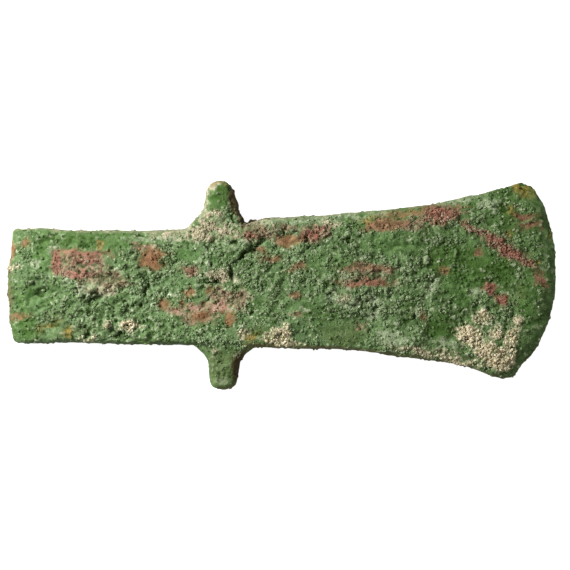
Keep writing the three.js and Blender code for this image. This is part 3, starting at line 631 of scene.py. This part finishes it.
ragged_mask, given, result = new_group(
    "ragged_mask",
    [("Depth", "NodeSocketFloat", 0.0), ("Ragged", "NodeSocketFloat", 1.0), ("Soft", "NodeSocketFloat", 0.15)],
    [("Mask", "NodeSocketFloat")],
)
crumbly = sum_of(ragged_mask, speckle(ragged_mask, 0.9 * MM, detail=4.0, roughness=0.7), 0.5, "SUBTRACT")
shift = sum_of(ragged_mask, crumbly, given.outputs["Ragged"], "MULTIPLY")
shifted = sum_of(ragged_mask, shift, given.outputs["Depth"])
crisp = sum_of(ragged_mask, shifted, given.outputs["Soft"], "DIVIDE")
crisp = sum_of(ragged_mask, crisp, 0.5)
clamped = add(ragged_mask, "ShaderNodeClamp", {"Value": crisp}).outputs[0]
ragged_mask.links.new(clamped, result.inputs["Mask"])
print("group:", ragged_mask.name)

# %% Group: two tones of one mineral
two_tones, given, result = new_group(
    "two_tones",
    [
        ("Dark", "NodeSocketColor", (0.1, 0.1, 0.1, 1)),
        ("Light", "NodeSocketColor", (0.5, 0.5, 0.5, 1)),
        ("Scale", "NodeSocketFloat", 1000.0),
        ("Lightness", "NodeSocketFloat", 0.5),
        ("Contrast", "NodeSocketFloat", 3.0),
    ],
    [("Color", "NodeSocketColor")],
)
place = add(two_tones, "ShaderNodeTexCoord").outputs["Object"]
cloud_inputs = {"Vector": place, "Scale": given.outputs["Scale"], "Detail": 5.0}
cloud = add(two_tones, "ShaderNodeTexNoise", cloud_inputs).outputs["Fac"]
centred = sum_of(two_tones, cloud, 0.5, "SUBTRACT")
strong = sum_of(two_tones, centred, given.outputs["Contrast"], "MULTIPLY")
raised = sum_of(two_tones, strong, given.outputs["Lightness"])
share = add(two_tones, "ShaderNodeClamp", {"Value": raised}).outputs[0]
between = mixed(two_tones, share, given.outputs["Dark"], given.outputs["Light"])
two_tones.links.new(between, result.inputs["Color"])
print("group:", two_tones.name)


# %% Group: crumbs
crumbs, given, result = new_group(
    "crumbs",
    [("Scale", "NodeSocketFloat", 1000.0)],
    [("Top", "NodeSocketFloat"), ("Tone", "NodeSocketFloat")],
)
place = add(crumbs, "ShaderNodeTexCoord").outputs["Object"]
cells = add(crumbs, "ShaderNodeTexVoronoi", {"Vector": place, "Scale": given.outputs["Scale"]})
crumbs.links.new(stretched(crumbs, cells.outputs["Distance"], 0.62, 0.08), result.inputs["Top"])
tone = add(crumbs, "ShaderNodeSeparateColor", {"Color": cells.outputs["Color"]}).outputs["Red"]
crumbs.links.new(tone, result.inputs["Tone"])
print("group:", crumbs.name)


# %% Placing the groups
def mask_of(tree, kind, ragged=1.0, soft=0.15):
    """A crisp, ragged mask of one kind of patch."""
    made = add(tree, "ShaderNodeGroup", node_tree=ragged_mask)
    tree.links.new(stored(tree, kind), made.inputs["Depth"])
    made.inputs["Ragged"].default_value = ragged
    made.inputs["Soft"].default_value = soft
    return made.outputs["Mask"]


def tones_of(tree, dark, light, size, lightness=0.5, contrast=3.0):
    """One mineral in two tones, with clouds of that size in metres."""
    made = add(tree, "ShaderNodeGroup", node_tree=two_tones)
    made.inputs["Dark"].default_value = paint(dark)
    made.inputs["Light"].default_value = paint(light)
    made.inputs["Scale"].default_value = 1.0 / size
    made.inputs["Contrast"].default_value = contrast
    made.inputs["Lightness"].default_value = lightness
    return made.outputs["Color"]


def laid(tree, mask, share, under, over):
    """One colour over another where the mask is, at that share of full cover."""
    return mixed(tree, sum_of(tree, mask, share, "MULTIPLY"), under, over)


# %% [markdown]
# ## The crust's colours
# The green is never one green: a deep dark green in the joints, leaf green on the smooth skin and a pale
# grey green on the tops of the grains. Over it lie the red oxide, the earth, the dirt and the ochre
# stains, each through its own mask. A dark brown and a dull green also lie on shaded flanks, edges and
# hollows, partly as painted shade. The rim is painted pale where it faces the key light, a painted
# highlight, and light brown where it faces away, painted light in its shade. Last, the hollows are
# darkened, partly dark patina and partly painted shade, and the tops made paler, partly a pale mineral
# and partly a painted highlight.

# %% Material: crusted bronze
crust = bpy.data.materials.new("crusted_bronze")
crust.use_nodes = True
tree = crust.node_tree
surface = tree.nodes["Principled BSDF"]

# Hollows and tops of each point: the hollows get dark patina and painted shade, the tops a pale mineral and a
# painted highlight.
peak = stretched(tree, stored(tree, "fine_hollow"), 0.03, -0.09)
deep = stretched(tree, stored(tree, "fine_hollow"), 0.02, 0.13)
deep_broad = stretched(tree, stored(tree, "broad_hollow"), 0.08, 0.5)
grain_tone = stored(tree, "large_tone")
small_grain_tone = stored(tree, "small_tone")
roughness = stored(tree, "rough")
crumb_node = add(tree, "ShaderNodeGroup", node_tree=crumbs)
crumb_node.inputs["Scale"].default_value = 1.0 / (0.85 * MM)
crumb_top, crumb_tone = crumb_node.outputs["Top"], crumb_node.outputs["Tone"]

leaf_green = tones_of(tree, "#3a5922", "#66844d", 3.2 * MM, 0.5, 3.5)
calm_green = tones_of(tree, "#3b6020", "#66874b", 2.0 * MM, 0.5, 4.0)
mint_green = tones_of(tree, "#4f6f38", "#7f9a67", 2.0 * MM, 0.5, 3.5)
pale_green = tones_of(tree, "#8b9f73", "#cbd1b4", 1.1 * MM, 0.5, 3.0)
green = mixed(tree, stretched(tree, roughness, 0.35, 1.3), leaf_green, mint_green)
calm_mask = mask_of(tree, "calm", 2.0, 2.0)
green = mixed(tree, calm_mask, green, calm_green)
# The green is made paler in broad clouds, more on the butt and waist than on the blade.
broad_paler_clouds = stretched(tree, speckle(tree, 14.0 * MM, detail=2.0), 0.35, 0.68)
place = add(tree, "ShaderNodeTexCoord").outputs["Object"]
along = add(tree, "ShaderNodeSeparateXYZ", {"Vector": place}).outputs["X"]
paler_towards_butt = sum_of(tree, broad_paler_clouds, stretched(tree, along, 0.02, 0.05, 0.4, 0.12), "MULTIPLY")
green = mixed(tree, paler_towards_butt, green, paint("#7a9469"))
moss_mask = mask_of(tree, "moss", 2.5, 2.5)
green = laid(tree, moss_mask, 0.66, green, paint("#3b5c17"))
# Paler tops of grains and crumbs: partly a pale grey-green mineral and partly a painted highlight.
paleness = sum_of(tree, peak, stretched(tree, grain_tone, 0.2, 0.95, 0.1, 0.9), "MULTIPLY")
crumb_pale = sum_of(tree, crumb_top, stretched(tree, crumb_tone, 0.5, 0.95), "MULTIPLY")
crumb_pale = sum_of(tree, crumb_pale, stretched(tree, roughness, 0.2, 1.1, 0.1, 0.8), "MULTIPLY")
clusters = stretched(tree, speckle(tree, 5.0 * MM, detail=2.0), 0.38, 0.64, 0.15, 1.35)
crumb_pale = sum_of(tree, crumb_pale, clusters, "MULTIPLY")
paleness = sum_of(tree, paleness, crumb_pale, "MAXIMUM")
paleness = sum_of(tree, paleness, stretched(tree, calm_mask, 0.0, 1.0, 1.0, 0.4), "MULTIPLY")
chalky = sum_of(tree, mask_of(tree, "pale", 2.5, 1.0), 0.66, "MULTIPLY")
paleness = sum_of(tree, paleness, chalky, "MAXIMUM")
green = mixed(tree, paleness, green, pale_green)

red_bare = tones_of(tree, "#946752", "#cda793", 1.8 * MM, 0.5, 3.5)
rust = tones_of(tree, "#774d33", "#a7805c", 1.8 * MM, 0.5, 3.0)
dark_red = tones_of(tree, "#7f4d40", "#ab7866", 1.5 * MM, 0.5, 3.0)
red_crusty = tones_of(tree, "#754a3a", "#a97b67", 1.3 * MM, 0.5, 3.5)
red_speck = tones_of(tree, "#786a52", "#c2b699", 1.0 * MM, 0.5, 3.5)
red_crusty = mixed(tree, stretched(tree, small_grain_tone, 0.5, 0.75), red_crusty, red_speck)
brownish = tones_of(tree, "#694531", "#a07a5c", 1.4 * MM, 0.5, 4.0)
tan = tones_of(tree, "#5c4b38", "#ab967a", 0.9 * MM, 0.5, 4.0)
earthy = tones_of(tree, "#9c8a60", "#efe3c4", 0.9 * MM, 0.6, 4.0)
dirty = tones_of(tree, "#948769", "#cec5a9", 0.9 * MM, 0.5, 3.0)
rusty = tones_of(tree, "#625e22", "#a6904a", 1.1 * MM, 0.5, 4.0)

grainy_cover = stretched(tree, grain_tone, 0.02, 0.18, 0.25, 1.0)
dirt_mask = mask_of(tree, "dirt", 3.0, 1.2)
colour = laid(tree, dirt_mask, grainy_cover, green, dirty)
tan_mask = mask_of(tree, "tan_crust", 3.2, 1.0)
tan_cover = stretched(tree, grain_tone, 0.02, 0.18, 0.6, 1.0)
colour = laid(tree, tan_mask, tan_cover, colour, tan)
colour = laid(tree, mask_of(tree, "brown_band", 2.2, 1.2), 0.88, colour, brownish)
red_mask = mask_of(tree, "red_crust", 2.4, 0.8)
# Pale pink on the crumbs' tops: partly pale crust and partly a painted highlight.
red_crusty = laid(tree, crumb_pale, 0.7, red_crusty, paint("#d5bcae"))
colour = laid(tree, red_mask, 0.88, colour, red_crusty)
# Partly painted shade: a dull green glaze laid over hollows, flanks and the butt's end.
colour = laid(tree, mask_of(tree, "olive_and_shade", 2.5, 2.5), 0.42, colour, paint("#4d5222"))
earth_mask = mask_of(tree, "earth", 4.8, 1.2)
earth_cover = stretched(tree, grain_tone, 0.0, 0.12, 0.4, 1.0)
colour = laid(tree, earth_mask, earth_cover, colour, earthy)
bare_mask = mask_of(tree, "bare_red", 3.6, 1.4)
colour = laid(tree, bare_mask, 0.88, colour, red_bare)
rust_mask = mask_of(tree, "rust", 3.0, 1.4)
colour = laid(tree, rust_mask, 0.9, colour, rust)
dark_red_mask = mask_of(tree, "dark_red", 3.0, 1.2)
colour = laid(tree, dark_red_mask, 0.85, colour, dark_red)
bare_mask = sum_of(tree, sum_of(tree, bare_mask, rust_mask, "MAXIMUM"), dark_red_mask, "MAXIMUM")
colour = laid(tree, mask_of(tree, "ochre", 3.0, 1.4), 0.85, colour, rusty)
facing_up_node = stored(tree, "facing_up")
# Painted highlight: a pale tan on the rim where it faces up and left, towards the key light, broken up by
# noise.
rim_highlight_breakup = stretched(tree, speckle(tree, 2.6 * MM, detail=3.0), 0.4, 0.62, 0.1, 0.65)
painted_rim_highlight = sum_of(tree, stretched(tree, facing_up_node, 0.4, 0.85), rim_highlight_breakup, "MULTIPLY")
colour = mixed(tree, painted_rim_highlight, colour, paint("#aea888"))
# Painted light: a light brown on the rim where it faces down and right, away from the key light, lifts its
# shade.
painted_light_on_lower_rim = stretched(tree, facing_up_node, -0.3, -0.8, 0.0, 0.6)
colour = mixed(tree, painted_light_on_lower_rim, colour, paint("#857750"))
# Partly painted shade: a dark brown on flanks and edges that face away from the key light.
colour = laid(tree, mask_of(tree, "umber_and_shade", 1.6, 0.9), 0.85, colour, paint("#523e2a"))
dust = stretched(tree, speckle(tree, 0.38 * MM, detail=2.0, roughness=0.7), 0.3, 0.7, 0.76, 1.22)
grey = add(tree, "ShaderNodeCombineColor", {"Red": dust, "Green": dust, "Blue": dust}).outputs["Color"]
colour = mixed(tree, 1.0, colour, grey, mode="MULTIPLY")
smoothed = sum_of(tree, sum_of(tree, earth_mask, bare_mask, "MAXIMUM"), red_mask, "MAXIMUM")
smoothed = sum_of(tree, smoothed, dirt_mask, "MAXIMUM")
open_joints = stretched(tree, smoothed, 0.0, 1.0, 1.0, 0.45)
joints = stretched(tree, crumb_top, 0.22, 0.0)
joints = sum_of(tree, joints, stretched(tree, roughness, 0.3, 1.2, 0.0, 0.35), "MULTIPLY")
joints = sum_of(tree, joints, open_joints, "MULTIPLY")
colour = mixed(tree, joints, colour, paint("#253b06"))
# Partly dark patina and partly painted shade: the hollows, fine and broad, are darkened.
colour = laid(tree, deep, 0.5, colour, paint("#1f3203"))
colour = laid(tree, deep_broad, 0.55, colour, paint("#253c06"))
tree.links.new(colour, surface.inputs["Base Color"])
surface.inputs["Specular IOR Level"].default_value = 0.18

# %% Its gloss and its finest grain
sheen_spots = speckle(tree, 1.4 * MM, detail=3.0)
gloss = stretched(tree, sheen_spots, 0.35, 0.65, 0.42, 0.78)
tree.links.new(gloss, surface.inputs["Roughness"])
crumb_height = sum_of(tree, crumb_top, stretched(tree, roughness, 0.1, 1.1, 0.1, 0.7), "MULTIPLY")
crumb_height = sum_of(tree, crumb_height, stretched(tree, bare_mask, 0.0, 1.0, 1.0, 0.25), "MULTIPLY")
fine = sum_of(tree, speckle(tree, 0.45 * MM, detail=3.0, roughness=0.7), crumb_height)
bump = add(tree, "ShaderNodeBump", {"Height": fine, "Distance": 0.22 * MM, "Strength": 1.0})
tree.links.new(bump.outputs["Normal"], surface.inputs["Normal"])
for piece in [axe, *grain_pieces]:
    piece.data.materials.append(crust)
print("nodes in", crust.name, ":", len(tree.nodes))

# %% [markdown]
# ## Floor, light and camera
# The axe lies on a plain white table. A softbox high on the left rakes across the crust, so that every
# grain has a lit side and a shaded side, and a pale sky fills the shadows. The camera looks straight
# down through a long lens, which keeps the outline true.

# %% Floor
FLOOR_SIZE = 3.0  # m
FLOOR_GLOW = 0.96  # the table shines by itself, but only for the camera
floor_mesh = bpy.data.meshes.new("table_top")
floor_form = bmesh.new()
bmesh.ops.create_grid(floor_form, x_segments=1, y_segments=1, size=FLOOR_SIZE / 2)
floor_form.to_mesh(floor_mesh)
floor_form.free()
floor = bpy.data.objects.new("table_top", floor_mesh)
floor.location.z = -0.02 * MM  # a hair lower than the axe's flat spots, so that the two don't flicker
bpy.context.collection.objects.link(floor)
white = bpy.data.materials.new("white_table")
white.use_nodes = True
white_surface = white.node_tree.nodes["Principled BSDF"]
white_surface.inputs["Base Color"].default_value = (0.5, 0.5, 0.5, 1.0)
white_surface.inputs["Roughness"].default_value = 0.9
white_surface.inputs["Emission Color"].default_value = (1.0, 1.0, 1.0, 1.0)
seen = add(white.node_tree, "ShaderNodeLightPath").outputs["Is Camera Ray"]
glow = sum_of(white.node_tree, seen, FLOOR_GLOW, "MULTIPLY")
white.node_tree.links.new(glow, white_surface.inputs["Emission Strength"])
floor_mesh.materials.append(white)


# %% Lights
def softbox(name, place, size, power, colour=(1.0, 1.0, 1.0)):
    """A square lamp that looks at the axe."""
    lamp = bpy.data.lights.new(name, "AREA")
    lamp.size = size
    lamp.energy = power
    lamp.color = colour
    holder = bpy.data.objects.new(name, lamp)
    holder.location = place
    holder.rotation_euler = (-Vector(place)).to_track_quat("-Z", "Y").to_euler()
    bpy.context.collection.objects.link(holder)


softbox("key_light", (-0.33, 0.17, 0.28), 0.07, 3.2)
softbox("fill_light", (0.5, -0.3, 0.7), 0.6, 0.55)
sky = bpy.data.worlds.new("studio")
sky.use_nodes = True
sky.node_tree.nodes["Background"].inputs["Color"].default_value = (1.0, 1.0, 0.88, 1.0)
sky.node_tree.nodes["Background"].inputs["Strength"].default_value = 0.22
bpy.context.scene.world = sky
bpy.context.scene.view_settings.view_transform = "Standard"

# %% Camera
LENS, SENSOR = 100.0, 36.0
FIELD = 166.3 * MM  # width of the view at the axe
ASIDE = 1.0 * MM  # the axe lies this far left of the middle of the view
MIDDLE_HEIGHT = 4.0 * MM  # the width of the view is measured this high above the table

camera_data = bpy.data.cameras.new("camera")
camera_data.lens = LENS
camera_data.sensor_width = SENSOR
camera_data.clip_start = 0.01
camera = bpy.data.objects.new("camera", camera_data)
camera.location = (ASIDE, 0.0, FIELD * LENS / SENSOR + MIDDLE_HEIGHT)
bpy.context.collection.objects.link(camera)
bpy.context.scene.camera = camera
